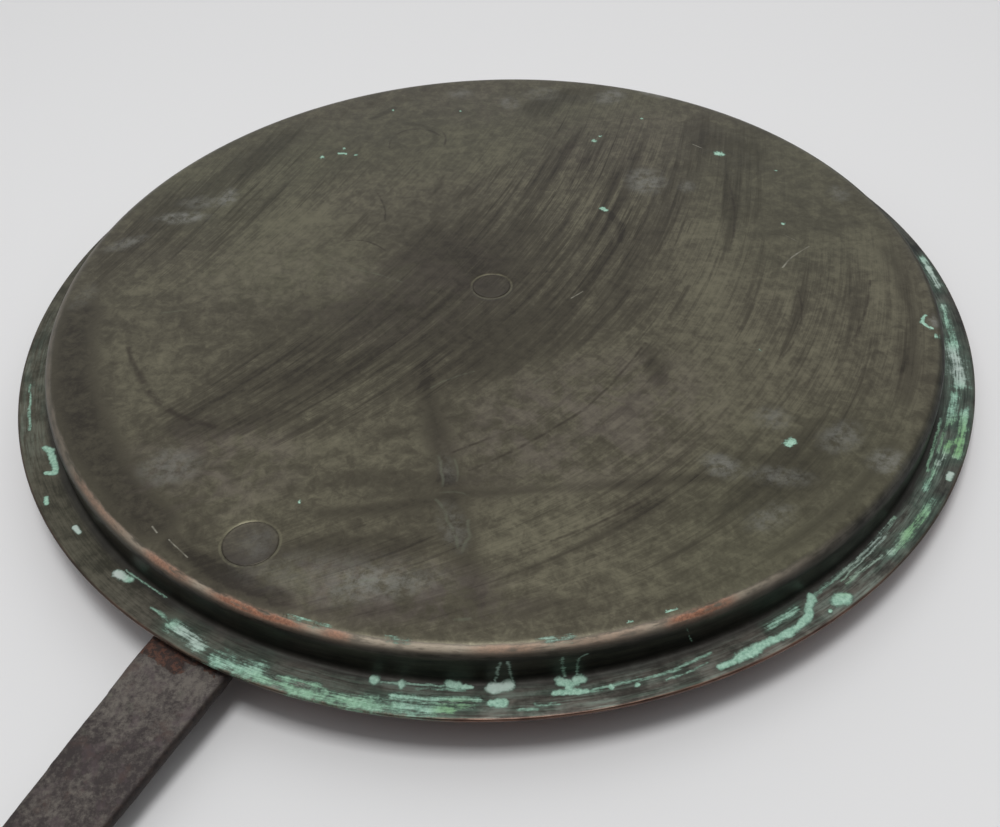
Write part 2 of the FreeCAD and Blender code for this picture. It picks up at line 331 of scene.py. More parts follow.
def turned_mesh(profile, at, segments, rounds):
    """A solid turned from (radius, height) points that start and end on its axis."""
    turns = 2 * math.pi * np.arange(segments) / segments
    inner = profile[1:-1]
    verts = [(at, 0, profile[0][1])]
    verts += [(at + r * math.cos(t), r * math.sin(t), z) for r, z in inner for t in turns]
    verts.append((at, 0, profile[-1][1]))
    last = len(verts) - 1
    faces, zones = [], []
    for j in range(segments):
        k = (j + 1) % segments
        faces.append((0, 1 + j, 1 + k))
        zones.append(0)
        for i in range(len(inner) - 1):
            a, b = 1 + i * segments, 1 + (i + 1) * segments
            faces.append((a + j, b + j, b + k, a + k))
            zones.append(0 if i <= rounds else 1)
        a = 1 + (len(inner) - 1) * segments
        faces.append((last, a + k, a + j))
        zones.append(1)
    return np.array(verts), faces, zones


def rivet_mesh(face, shank, head, head_height, at):
    """A rivet: flush face with a faint lip, cone, shank through the strap, hammered head."""
    seat = PLATE_BACK - STRAP
    depth = face - shank
    rings = 14
    lip = 0.06
    top = [(0, PLUG_HEIGHT - 0.03)]
    top += [(face * k / rings, PLUG_HEIGHT - 0.03) for k in range(1, rings - 2)]
    top += [(face - 1.1, PLUG_HEIGHT - 0.04), (face - 0.75, PLUG_HEIGHT + lip * 0.7),
            (face - 0.4, PLUG_HEIGHT + lip), (face - 0.1, PLUG_HEIGHT + lip * 0.4),
            (face, PLUG_HEIGHT - 0.08)]
    rounds = len(top) - 2
    profile = top + [(shank, PLUG_HEIGHT - depth), (shank, seat)]
    profile += [(head - 0.25, seat), (head, seat - 0.3)]
    swell = 90 * np.arange(1, 10) / 10
    profile += [(head * math.cos(math.radians(a)) ** 0.8,
                 seat - 0.3 - (head_height - 0.3) * math.sin(math.radians(a)) ** 0.9) for a in swell]
    profile += [(0, seat - head_height)]
    verts, faces, zones = turned_mesh(profile, at, 96, rounds)
    below = np.clip(seat - verts[:, 2], 0, 1)
    verts[:, 2] += below * (0.22 + 0.18 * wander(verts, 4.5, 7))
    return verts, faces, zones


def handle_mesh():
    """The forged strap: the CAD solid remeshed finely, its edges worn round, its faces uneven."""
    source = frame["nodes"]["strap_handle"]
    rough = linked("handle_rough", source.data.copy())
    weld = rough.modifiers.new("weld", "WELD")
    weld.merge_threshold = 1e-6
    remesh = rough.modifiers.new("remesh", "REMESH")
    remesh.mode = "VOXEL"
    remesh.voxel_size = VOXEL * MM
    ease = rough.modifiers.new("ease", "SMOOTH")
    ease.factor = 0.5
    ease.iterations = 6
    depsgraph = bpy.context.evaluated_depsgraph_get()
    mesh = bpy.data.meshes.new_from_object(rough.evaluated_get(depsgraph))
    bpy.data.objects.remove(rough)
    to_lid = np.array(LID.inverted())
    verts = np.array([v.co for v in mesh.vertices]) @ to_lid[:3, :3].T + to_lid[:3, 3]
    normals = np.array([v.normal for v in mesh.vertices]) @ to_lid[:3, :3].T * MM
    faces = [tuple(p.vertices) for p in mesh.polygons]
    blows = 0.10 * wander(verts, 14, 11) + 0.07 * wander(verts, 5, 12) + 0.04 * wander(verts, 1.8, 13)
    heavy = np.clip((verts[:, 0] - 182) / 12, 0, 1) * np.clip((345 - verts[:, 0]) / 45, 0, 1) * 0.35
    verts += normals * (blows - 0.14 + heavy)[:, None]
    verts[:, 1] += np.clip((verts[:, 0] - 174) / 10, 0, 1) * (verts[:, 1] * 0.058 - 0.9)
    # how steep each face is, from which the iron material paints shade on the strap's sides
    side = 1 - np.abs(normals[:, 2]) / np.linalg.norm(normals, axis=1)
    bpy.data.meshes.remove(mesh)
    return verts, faces, [0] * len(faces), side


# Node building

METAL_GAIN = 0.95


def shade(*screen):
    """A colour as the eye reads it on a screen, 0 to 255, as linear light."""
    parts = [v / 255 for v in screen]
    light = [v / 12.92 if v <= 0.04045 else ((v + 0.055) / 1.055) ** 2.4 for v in parts]
    return (*[v * METAL_GAIN for v in light], 1)


def feed(tree, socket, value):
    """Links a wire or sets a constant."""
    if isinstance(value, Wire):
        tree.links.new(value.socket, socket)
    else:
        socket.default_value = value


def math_node(tree, operation, *values, clamp=False):
    """A math node's wire."""
    return Nodes(tree).node("Math", dict(enumerate(values)), operation=operation, use_clamp=clamp)


class Wire:
    """One value running through a node tree. Arithmetic on it adds math nodes."""

    def __init__(self, tree, socket):
        self.tree = tree
        self.socket = socket

    def math(self, operation, *others, clamp=False):
        return math_node(self.tree, operation, self, *others, clamp=clamp)

    def __rsub__(self, other):
        return math_node(self.tree, "SUBTRACT", other, self)

    __add__ = partialmethod(math, "ADD")
    __sub__ = partialmethod(math, "SUBTRACT")
    __mul__ = partialmethod(math, "MULTIPLY")
    __truediv__ = partialmethod(math, "DIVIDE")
    most = partialmethod(math, "MAXIMUM")
    least = partialmethod(math, "MINIMUM")
    size = partialmethod(math, "ABSOLUTE")
    clamped = partialmethod(math, "ADD", 0, clamp=True)

    def step(self, low, high):
        """Smooth rise from 0 at low to 1 at high. With low above high it falls instead."""
        flip = low > high
        inputs = {"Value": self, "From Min": min(low, high), "From Max": max(low, high),
                  "To Min": float(flip), "To Max": float(not flip)}
        return Nodes(self.tree).node("MapRange", inputs, "Result", interpolation_type="SMOOTHSTEP")


class Nodes:
    """Adds nodes to a tree."""

    def __init__(self, tree):
        self.tree = tree

    def node(self, kind, inputs, output=0, **settings):
        node = self.tree.nodes.new("ShaderNode" + kind)
        for key, value in settings.items():
            setattr(node, key, value)
        for key, value in inputs.items():
            feed(self.tree, node.inputs[key], value)
        return Wire(self.tree, node.outputs[output])

    def vectors(self, operation, *values, output="Vector", **named):
        """A vector math node with numbered and named inputs."""
        inputs = {**dict(enumerate(values)), **named}
        return self.node("VectorMath", inputs, output, operation=operation)

    def measure(self, operation, *vectors):
        """A number from vectors."""
        return self.vectors(operation, *vectors, output="Value")

    def mix(self, share, a, b):
        """Colour b laid over colour a. Three numbers are a colour on a screen."""
        a, b = (shade(*c) if isinstance(c, tuple) and len(c) == 3 else c for c in (a, b))
        return self.node("Mix", {0: share, 6: a, 7: b}, 2, data_type="RGBA")

    def end(self, kind, wire):
        """An output node of this kind, fed by the wire."""
        self.tree.links.new(wire.socket, self.tree.nodes.new(kind).inputs[0])


def new_group(name, places, numbers=()):
    """An empty node group with one number out: its nodes and the wires of its inputs."""
    group = Nodes(bpy.data.node_groups.new(name, "ShaderNodeTree"))
    sockets = group.tree.interface
    for labels, kind in ((places, "NodeSocketVector"), (numbers, "NodeSocketFloat")):
        for label in labels:
            sockets.new_socket(label, in_out="INPUT", socket_type=kind)
    sockets.new_socket("Inside", in_out="OUTPUT", socket_type="NodeSocketFloat")
    inputs = group.tree.nodes.new("NodeGroupInput").outputs
    return group, [Wire(group.tree, inputs[label]) for label in (*places, *numbers)]


def stroke_group():
    """Node group: 1 on a line from one place to another, falling to 0 at its half width."""
    group, wires = new_group("stroke", ("Place", "From", "To"), ("Half Width", "Bow"))
    place, start, finish, half_width, bow = wires
    offset = group.vectors("SUBTRACT", place, start)
    run = group.vectors("SUBTRACT", finish, start)
    square = group.measure("DOT_PRODUCT", run, run) + LEAST_SQUARE
    share = group.measure("DOT_PRODUCT", offset, run).math("DIVIDE", square, clamp=True)
    left = group.vectors("NORMALIZE", group.vectors("CROSS_PRODUCT", (0, 0, 1), run))
    swell = share * (1 - share) * bow
    foot = group.vectors("SCALE", run, Scale=share)
    foot = group.vectors("ADD", foot, group.vectors("SCALE", left, Scale=swell))
    away = group.measure("LENGTH", group.vectors("SUBTRACT", offset, foot))
    group.end("NodeGroupOutput", 1 - away / half_width)
    return group.tree


STROKE = stroke_group()


class Paint(Nodes):
    """A material being built: coordinates, fields, noises, strokes and layers of colour."""

    def __init__(self, name, cell=None):
        self.material = bpy.data.materials.new(name)
        self.material.use_nodes = True
        super().__init__(self.material.node_tree)
        self.tree.nodes.clear()
        self.cell = cell
        self.colour = None
        self.spot = self.attribute("spot")
        self.x, self.y, self.z = self.parts(self.spot)
        self.u, self.v, _ = self.parts(self.attribute("swirl"))
        self.lights, self.olive, self.violet = self.parts(self.attribute("tone"))
        self.combed, self.dark, self.bloom = self.parts(self.attribute("wear"))
        self.stain, self.broken, self.greened = self.parts(self.attribute("marks"))
        self.whited, self.limed, self.coppered = self.parts(self.attribute("tint"))
        # side: how steep a face of the handle is, for the painted shade on its sides
        self.side = self.parts(self.attribute("side"))[0]
        self.plane = self.vector(self.x, self.y, 0)
        self.radius = self.measure("LENGTH", self.plane)

    def attribute(self, name):
        return self.node("Attribute", {}, "Vector", attribute_name=name)

    def parts(self, vector):
        node = self.tree.nodes.new("ShaderNodeSeparateXYZ")
        feed(self.tree, node.inputs[0], vector)
        return [Wire(self.tree, out) for out in node.outputs]

    def vector(self, x, y, z):
        return self.node("CombineXYZ", {0: x, 1: y, 2: z})

    def noise(self, vector, size, detail=3, rough=0.7, bend=0, output="Fac"):
        """Fractal noise with features about size units of its vector wide."""
        inputs = {"Vector": vector, "Scale": 1 / size, "Detail": detail, "Roughness": rough,
                  "Distortion": bend}
        return self.node("TexNoise", inputs, output)

    def flecks(self, size, detail=3, rough=0.7, bend=0):
        """Noise in space, with features about size millimetres wide."""
        return self.noise(self.spot, size, detail, rough, bend)

    def drawn(self, length, width, rough, shift, slope=0):
        """Noise drawn out along the swirl, or at a small slope to it, sizes in millimetres."""
        across = (self.v + self.u * slope) * (100 / width)
        return self.noise(self.vector(self.u * (100 / length), across, shift), 1, 3, rough)

    def shifted(self, amount, size, detail=2):
        """The spot, pushed about by noise so that marks get ragged outlines."""
        push = self.noise(self.spot, size, detail, 0.6, output="Color")
        centred = self.vectors("SUBTRACT", push, (0.5, 0.5, 0.5))
        return self.vectors("ADD", self.spot, self.vectors("SCALE", centred, Scale=amount))

    def strokes(self, name, where, rows):
        """Largest of the cell's strokes at a place: 1 on a stroke's line, 0 at its half width."""
        group, (place,) = new_group(name, ["Place"])
        total = None
        for width, points, *bow in in_cell(rows, self.cell) or [FAR_OFF]:
            for a, b in legs(points):
                inputs = {"Place": place, "From": a, "To": b, "Half Width": width,
                          "Bow": 4 * bow[0] if bow else 0}
                one = group.node("Group", inputs, node_tree=STROKE)
                total = total.most(one) if total else one
        group.end("NodeGroupOutput", total)
        return self.node("Group", {"Place": where}, node_tree=group.tree)

    def lay(self, share, *over):
        """Lays a colour, or a blend given as for mix, over the material's colour."""
        top = over[0] if len(over) == 1 else self.mix(*over)
        self.colour = self.mix(share, self.colour, top)

    def finish(self, rough, metallic, height, bump_mm, specular=0.5):
        bump = self.node("Bump", {"Strength": 1, "Distance": bump_mm * MM, "Height": height})
        shader = self.node("BsdfPrincipled", {
            "Base Color": self.colour, "Roughness": rough, "Metallic": metallic,
            "Specular IOR Level": specular, "Normal": bump})
        self.end("ShaderNodeOutputMaterial", shader)
        return self.material


# Marks, in view axes

def on_circles(height, *pairs):
    """Places at one height from (degrees, radius) pairs."""
    return [(r * math.cos(math.radians(a)), r * math.sin(math.radians(a)), height) for a, r in pairs]


def plate(*points):
    """Places on the plate from (x, y) pairs."""
    return [(x, y, PLUG_HEIGHT) for x, y in points]


round_plate = partial(on_circles, PLUG_HEIGHT)
flange = partial(on_circles, 0)


def band(start, end, radius, step=4):
    """Places on the plate along a circle, from one angle to another in degrees."""
    return round_plate(*[(a, radius) for a in range(start, end + 1, step)])


def wall(*pairs):
    """Places on the wall from (degrees, height) pairs."""
    return [on_circles(z, (a, PLUG_RADIUS))[0] for a, z in pairs]


def placed(place, rows):
    """Strokes whose places are given as that function takes them."""
    return [(width, place(*spots), *rest) for width, spots, *rest in rows]


# Ellipses: x, y, half length, half width, degrees, strength
LIGHTER = [
    (-88, 24, 48, 42, 20, 0.9), (-62, 70, 50, 30, 30, 0.4), (93, 15, 16, 60, -10, 0.8),
    (110, -45, 40, 60, -20, 0.4), (35, -78, 55, 36, 25, 0.35), (78, -40, 40, 30, 40, 0.4),
    (-62, -90, 40, 12, -8, 0.8), (14, -133, 34, 10, 8, 0.9), (-48, -113, 22, 6, 0, 0.8),
    (5, 118, 60, 30, 20, 0.15), (-15, 95, 50, 26, 40, 0.1), (158, 0, 13, 48, 0, 0.8),
    (-130, -45, 18, 40, 15, 0.6), (-95, -108, 24, 14, 0, 0.6), (46, 52, 34, 9, 58, 0.7),
    (65, -95, 60, 20, 20, 0.4), (70, 85, 60, 5, 64, 0.6), (15, 60, 50, 4, 60, 0.5),
    (-70, -72, 46, 5, 26, 0.6), (30, -150, 60, 6, 6, 0.5), (-80, 60, 40, 12, 40, 0.4),
    (120, -5, 50, 5, 78, 0.4), (8, -118, 40, 7, 8, 0.5), (25, 20, 24, 20, 0, 0.6),
    (-16, -93, 38, 14, 5, 0.6), (146, 10, 16, 26, 0, 0.6), (0, -158, 26, 8, 0, 0.5),
    (-45, -149, 44, 12, -8, 0.4), (74, -72, 22, 16, 30, 0.5),
]
OLIVE = [
    (-120, 95, 70, 70, 0, 1), (135, 60, 60, 90, 0, 0.8), (100, -125, 80, 50, 35, 0.8),
    (60, 150, 60, 25, 0, 0.6), (-20, 120, 100, 50, 10, 0.8), (-88, 24, 50, 40, 20, 0.5),
    (-60, -20, 60, 60, 0, 0.3),
]
VIOLET = [
    (30, -80, 65, 40, 20, 0.9), (-100, -95, 40, 30, 0, 0.9), (-40, -152, 60, 18, -10, 1.2),
    (0, 150, 40, 25, 0, 0.4), (-90, 15, 50, 40, 0, 0.3), (60, 110, 50, 40, 0, 0.3),
    (-30, 0, 60, 40, 30, 0.5),
]
COMBED = [
    (15, 20, 130, 60, 52, 0.8), (70, 40, 120, 60, 60, 0.7), (85, -60, 120, 70, 45, 0.6),
    (-60, 75, 90, 50, 38, 0.5), (35, 100, 90, 50, 58, 0.9), (-70, -55, 70, 40, 22, 1),
    (30, -140, 120, 40, 14, 0.5), (-60, -140, 60, 30, 0, 0.4), (-125, 70, 60, 90, -35, 0.9),
    (150, -40, 60, 90, -20, 0.5),
]
DARKER = [
    (2, 26, 44, 40, 10, 0.8), (-18, -6, 50, 42, 25, 0.8), (-62, -34, 60, 32, 24, 0.45),
    (-92, -60, 48, 18, 18, 0.3), (34, 98, 44, 4, 58, 0.5), (52, 102, 42, 3.5, 60, 0.5),
    (66, 86, 44, 4, 63, 0.45), (88, 82, 42, 4, 65, 0.4), (104, 40, 46, 4, 78, 0.35),
    (-60, -28, 52, 4, 31, 0.45), (-76, -50, 42, 4, 22, 0.45), (5, -32, 58, 4, 36, 0.45),
    (56, -22, 46, 4, 48, 0.4), (20, 70, 30, 3.5, 56, 0.4), (0, 80, 34, 4, 50, 0.35),
    (-20, 60, 34, 4, 45, 0.3), (-95, -76, 32, 8, 8, 0.5), (22, -26, 52, 22, 40, 0.6),
    (60, 20, 44, 16, 58, 0.45), (30, 95, 70, 18, 64, 0.3), (52, 48, 46, 6, 60, 0.35),
    (86, 62, 52, 8, 66, 0.4), (103, 112, 12, 24, -10, 0.65), (108, 58, 44, 4, 80, 0.35),
    (122, 90, 40, 14, -50, 0.25), (28, 143, 12, 13, 0, 0.9), (44, 154, 24, 10, 0, 0.6),
    (-112, -72, 14, 12, 0, 0.35), (-35, -106, 40, 7, -3, 0.45), (-52, -136, 50, 9, 2, 0.75),
    (-22, -160, 70, 9, -3, 0.5), (-85, -148, 26, 12, -35, 0.65), (122, -20, 44, 5, 68, 0.4),
    (160, -30, 56, 8, 80, 0.25), (115, -90, 60, 12, 42, 0.25), (-115, 95, 60, 14, 50, 0.5),
    (-60, 45, 30, 12, 30, 0.35), (-122, 45, 50, 12, 52, 0.35), (-15, 72, 16, 8, 0, 0.3),
    (68, -125, 60, 8, 15, 0.35), (-14, -42, 62, 26, 20, 0.6), (118, 95, 22, 34, -28, 0.6),
    (100, -112, 48, 16, 40, 0.5), (-148, 48, 18, 60, -25, 0.65), (-108, 112, 44, 14, 50, 0.45),
    (88, -108, 26, 12, 10, 0.25), (60, -54, 20, 6, 98, 0.6), (-60, 152, 50, 10, 22, 0.3),
    (130, 120, 50, 10, -44, 0.3), (-38, 28, 30, 22, 20, 0.4), (66, -16, 24, 18, 40, 0.25),
    (-74, -74, 26, 14, 10, 0.4), (-72, -6, 28, 14, 20, 0.35), (112, 56, 16, 26, -10, 0.3),
    (62, -147, 28, 12, 10, 0.35), (-106, 72, 18, 16, 40, 0.25),
]
BLOOM = [
    (-137, 60, 15, 6, 0, 1.2), (-118, 76, 4, 10, 0, 1), (-128, 72, 16, 7, 0, 0.6),
    (87, 154, 12, 6, -30, 1.3), (13, 150, 6, 7, 0, 0.9), (64, 152, 11, 8, 30, 0.9), (72, 73, 12, 14, 0, 0.9),
    (-158, 42, 12, 5, 30, 0.8), (-115, -95, 14, 12, 0, 0.6), (-40, -152, 26, 7, 10, 0.45),
    (-168, 5, 6, 12, -20, 0.3), (133, -108, 9, 8, 0, 0.9), (76, -106, 9, 7, -30, 0.9),
    (95, -112, 14, 6, -10, 0.6), (30, 158, 12, 8, 0, 0.5), (90, 67, 5, 6, 0, 0.7), (-80, -131, 8, 8, 0, 0.5),
    (120, -95, 12, 8, 40, 0.7), (156, 56, 6, 8, 0, 0.6), (-12, 162, 8, 6, 0, 0.6),
    (170.5, -35, 3.5, 4.5, 0, 1.4), (-16, -128, 6, 14, 12, 0.45), (-18, -102, 4, 9, 12, 0.35),
    (98, -84, 8, 8, 0, 0.6), (88, -130, 12, 6, 30, 0.6), (-45, -147, 12, 5, 0, 0.4),
    (-52, -146, 46, 12, -8, 0.3),
]
GREENED = [
    (-10, -205, 150, 60, 0, 1), (150, -120, 110, 70, 45, 1.3), (190, -10, 40, 90, 0, 1.1),
    (-190, -40, 30, 70, 0, 0.5), (184, -60, 12, 26, -10, 0.8),
]
WHITED = [
    (180, -45, 10, 15, 0, 1), (188, 8, 10, 22, 0, 0.9), (-131, -131, 6, 6, 0, 1.2),
    (-148, -108, 5, 5, 0, 1), (-100, -157, 12, 9, 0, 0.8), (-3, -180.5, 9, 4, 0, 0.8),
    (122, -133, 24, 10, 48, 0.9), (0, -175, 60, 6, 0, 0.3), (176, -24, 6, 20, 0, 0.5),
    (160, -98, 6, 10, 0, 1),
]
LIMED = [
    (139, -125, 18, 10, 45, 1), (170, -84, 10, 16, -25, 0.9), (-16, -187.5, 9, 5, 0, 1),
    (118, -142, 16, 6, 42, 1), (-60, -180, 34, 8, -15, 0.4), (160, -90, 10, 22, -25, 0.6),
]
COPPERED = [
    (-108.4, -138.7, 14, 8, -38, 0.8), (-77, -158, 22, 8, -26, 1.3), (-51.5, -168, 7, 6, 0, 0.8),
    (0, -176, 14, 6, 0, 0.5), (59.5, -166, 15, 7, 20, 1.3), (-137, -110, 24, 8, -52, 0.35),
    (28, -173, 20, 6, 8, 0.3),
]

# Strokes: half width, places and, for a curved line, how far its middle stands out to the left.
# Of STAINS and BROKEN the last number is a strength instead, 1 if it isn't given.
STAINS = placed(plate, [
    (5, [(-27.6, -44), (-24.3, -67), (-21.6, -84)], 0.5),
    (6, [(-21.6, -84), (-18.6, -98), (-16, -116)], 0.6),
    (6.5, [(-16, -116), (-13, -134), (-9, -158)], 0.55), (3.6, [(-60, -120), (-34, -118), (-10, -114)], 0.5),
    (3.2, [(-10, -114), (34, -113), (72, -111)], 0.5), (2.6, [(52, 50), (57, 40), (56, 28)]),
    (2.4, [(-45, 150), (-56, 140)]),
    (2.4, [(-27.3, 111), (-24, 117), (-25, 126), (-31, 132), (-40, 134.5)], 0.6),
]) + placed(band, [
    (11, (-178, -131, 167)), (4.5, (-130, -114, 169)), (4.6, (-28, 4, 166), 0.4),
    (3.4, (-60, -34, 169), 0.4),
])
SCRATCHES = placed(plate, [
    (1.4, [(-144.8, -19.2), (-135.6, -44.4)], -1.5), (2.2, [(-135.6, -44.4), (-120.9, -65.3)], -1.5),
    (1.8, [(-120.9, -65.3), (-102, -75.7)], -1), (0.9, [(-10, -103), (33, -74)], -1.5),
    (0.8, [(33, -74), (58, -40)], -1), (0.7, [(-16, -94), (5, -84)], 0),
    (0.8, [(153.1, -7.3), (135.1, -46.7)], 1.7), (0.6, [(123.1, -12), (107.1, -53.4)], 4),
    (0.8, [(109.1, 72), (100.7, 17.3)], 2.6), (0.7, [(-68.7, 33.7), (-44.8, 28.3)], 5.5),
    (0.6, [(-51.3, 75.3), (-45.7, 50.8)], 1.5), (0.8, [(16, -136), (54, -116)], -1.5),
    (0.7, [(-46, 112), (-38, 128)], 3), (0.9, [(-38, 128), (-22, 121)], 3),
    (0.8, [(-20.5, 124), (-20, 112)], 1), (0.6, [(50, 118), (33, 60)], 2),
])
BRIGHT_SCRATCHES = placed(plate, [
    (0.6, [(134, 17.5), (120, 4)], -1), (0.35, [(124, 29), (131, 20.5)], 0),
    (0.45, [(32, -10), (37, -6)]), (0.35, [(98, 103), (102, 99)]),
]) + placed(round_plate, [
    (0.5, [(-133.4, 168.6), (-132.3, 169.2)]), (0.4, [(-130.4, 168.6), (-126.8, 170.2)]),
])
FAINT_LINES = placed(plate, [
    (0.6, [(-70, 20), (-37, 5.5)], 1.5), (0.6, [(-134, -8), (-126, -7)]),
    (0.8, [(-15.5, -165.6), (-10.5, -165.6)]), (0.8, [(-45, -149), (-41, -148.6)]),
    (0.7, [(-21.4, -95), (-20, -103.5), (-19.5, -110)], 0.6), (0.6, [(-15.5, -97), (-14.6, -108)], 0.8),
    (0.8, [(-21.5, -116), (-17.9, -125.3), (-14.5, -137)], 0.8),
    (0.8, [(-13, -139.2), (-10.4, -132.7), (-10.9, -125.8)], 0.5), (0.6, [(-20, -113), (-11, -114.5)], 1),
    (0.6, [(-24, -60), (-8, -52)], 1), (0.6, [(14, -60), (21, -57)], 0.8),
])
PLATE_VERDIGRIS = placed(plate, [
    (1.6, [(-78, 106)]), (1.1, [(-68, 113)]), (1.2, [(-67, 108), (-70, 109)]), (1, [(-62, 107)]),
    (1.7, [(52, 110)]), (1, [(55, 114)]), (2.2, [(108, 94), (110, 93)]), (1.5, [(52, 51), (50, 53)]),
    (2.2, [(101, -97), (102.5, -96)]), (1.1, [(127, 35)]), (1.1, [(-68, -114)]), (0.8, [(-12, 144)]),
    (1, [(-46, 148)]), (1.3, [(168.2, -31.5), (168.6, -38.8)], -2.2), (0.8, [(101, -47)]),
    (0.9, [(77, 129)]), (0.9, [(132, 77)]), (1.5, [(37.9, -169.9)]), (1.4, [(49.6, -166.6), (52.4, -166.4)]),
])
# Loose crust, broken along the circle
BROKEN = placed(flange, [
    (4.2, [(-118.8, 189.4), (-116.4, 188.8), (-114.6, 187.8)]), (2.4, [(-114.9, 189.4), (-110.7, 189.3)]),
    (3.4, [(-110.4, 190), (-106.6, 189.6), (-101.8, 189.2), (-97.2, 188.9)]),
    (2, [(-97, 188.8), (-95.3, 188.1)]), (1.8, [(-94.6, 187), (-93.6, 186.8)]),
    (1.5, [(-101.2, 185.2), (-97, 185), (-92.7, 184.6)]), (1.2, [(-112.6, 187.2), (-108.1, 186)]),
    (3, [(-125.4, 186), (-121.2, 187.4)]), (2, [(-46.2, 187.2), (-41.8, 187.2), (-37, 187.8)]),
    (2.4, [(-21.6, 188.4), (-25.7, 189), (-29.4, 189.3)]), (1.6, [(-30.4, 185), (-27.4, 185.2)]),
    (4.2, [(-9.8, 184.4), (-13.9, 185.4), (-17.4, 186.4)]), (2, [(7.8, 189), (3.5, 188.2), (1.4, 188.2)]),
    (1.6, [(-2.2, 186.2), (-6, 185.7), (-9.2, 186.2)]), (2.2, [(-19, 184.5), (-24, 184)]),
    (1.5, [(-36, 184), (-31, 183.6)]), (1.6, [(-63, 182.8), (-59, 182)]),
]) + placed(round_plate, [
    (2, [(-112.6, 174.2), (-108.6, 174.4)], 0.5), (1.6, [(-101.2, 174.6), (-99.6, 174.8)], 0.4),
    (1.5, [(-86, 174.8), (-83.6, 175)], 0.4),
]) + placed(plate, [
    (1.4, [(160.5, -43), (170.2, -43.8)]),
])
MINT = placed(flange, [
    (1.5, [(-158.5, 183.3), (-157.6, 181.6)]), (1.8, [(-157.6, 181.4), (-155.4, 181.4), (-153.8, 181.8)]),
    (1.4, [(-154.1, 184.8), (-153.7, 182.6)]), (1.5, [(-69.8, 188.6), (-67.6, 188)]),
    (2.5, [(-67.6, 188), (-65.4, 187.2)]), (1.9, [(-65.4, 187.2), (-61, 187.6), (-59.3, 186.8)]),
    (1.9, [(-59.3, 186.8), (-58, 184), (-56.9, 181.4)]), (3.1, [(-55.2, 187.1), (-54.3, 188.3)]),
    (1, [(-56.7, 188.6)]), (2.6, [(-91.5, 180.7), (-90, 180.3)]),
    (2, [(-91.6, 185.8), (-90.5, 185.9)]), (2.1, [(-84.9, 179.8), (-84, 181.4)]),
    (2.2, [(-83.4, 180.4), (-82.9, 180.2)]), (1.6, [(-84.2, 182), (-84.3, 184)]),
    (1.4, [(-85.6, 183.9), (-82.6, 184.4)]), (2.2, [(-103.2, 180.5)]), (1.9, [(-100.4, 180.8)]),
    (1.9, [(-95.7, 179.4), (-94.9, 179.6)]), (1.2, [(-94.4, 180.3), (-93.7, 180.1)]),
    (1.4, [(-33.1, 189.2), (-32.2, 189.2)]), (2.1, [(-135.1, 183.6), (-133.5, 182.2)]),
    (1.3, [(-144.3, 184.2), (-143.3, 184)]), (1.2, [(-150.3, 188), (-149.4, 188.6)]),
    (1.1, [(-80.3, 184.4)]), (1.1, [(-77.8, 185.8)]),
])
# Thin lines of crust, and the runs down the wall
THIN = placed(flange, [
    (0.6, [(-134.8, 180.6), (-131.6, 179.7), (-128.4, 179.3)]), (0.9, [(-128.7, 185.2), (-127.7, 184.8)]),
    (1, [(-127.7, 184.8), (-126.2, 185.5)]), (0.8, [(-102.6, 180.8), (-98, 180.2), (-94.2, 179.6)]),
    (0.7, [(-99, 181.8), (-94.2, 181.2)]),
    (1, [(-82.3, 184.3), (-77.4, 184.4), (-73.8, 184.2), (-69.7, 182.4)]),
    (0.9, [(-87.6, 187.2), (-85.4, 187.5)]), (1, [(-89, 188.5), (-87.5, 188.9)]),
    (1.1, [(-56.6, 181.2), (-53, 180.8), (-49, 180.8), (-44.9, 180.8), (-41.6, 180.2)]),
    (0.7, [(-53, 182.8), (-44, 182.2)]), (1, [(-52.8, 184.4), (-47.3, 185.6)]),
    (0.9, [(-23.8, 180.4), (-28.7, 180.6), (-33, 181.3)]), (0.8, [(-29.7, 182.6), (-23.8, 183.1)]),
    (0.9, [(-170.4, 188.1), (-162.2, 187.5)]), (0.7, [(-75, 186.6), (-70.5, 185.8)]),
]) + placed(wall, [
    (0.9, [(-90.7, 10.6), (-91.2, 0.3)]), (0.8, [(-90, 10.5), (-89.6, 0.3)]),
    (1, [(-84.7, 9.8), (-84.4, 0.4)]), (0.9, [(-83, 8.2), (-83.2, 0.4)]),
    (0.7, [(-82.2, 10), (-83, 8.2)]), (0.45, [(-72, 10.8), (-71.2, 2.7)]),
])
RUST = [
    (4.2, [(-114.5, -156, 0), (-109, -159.5, 0)]), (3.4, [(-109, -159.5, 0), (-105, -164, 0)]),
    (1.2, [(-112, -155, 0), (-101, -162, 0), (-92, -168, 0)]),
]

FAR_OFF = (0.1, [(999, 999, 0)])

# The metal is split into cells, each with a material that holds only the strokes in or near it:
# lowest x and y, highest x and y
PLATE_CELLS = [(-200, -40, 0, 200), (0, -40, 200, 200), (-200, -200, 0, -40), (0, -200, 200, -40)]
SKIRT_CELLS = [
    (-200, -200, -60, 0), (-60, -200, 0, 0), (0, -200, 90, 0), (90, -200, 200, 0), (-200, 0, 200, 200),
]


def in_cell(rows, cell, margin=9):
    """The strokes that lie in a cell or close to it. Without a cell, all of them."""
    if cell is None:
        return rows
    x0, y0, x1, y1 = cell
    return [row for row in rows
            if max(p[0] for p in row[1]) > x0 - margin and min(p[0] for p in row[1]) < x1 + margin
            and max(p[1] for p in row[1]) > y0 - margin and min(p[1] for p in row[1]) < y1 + margin]


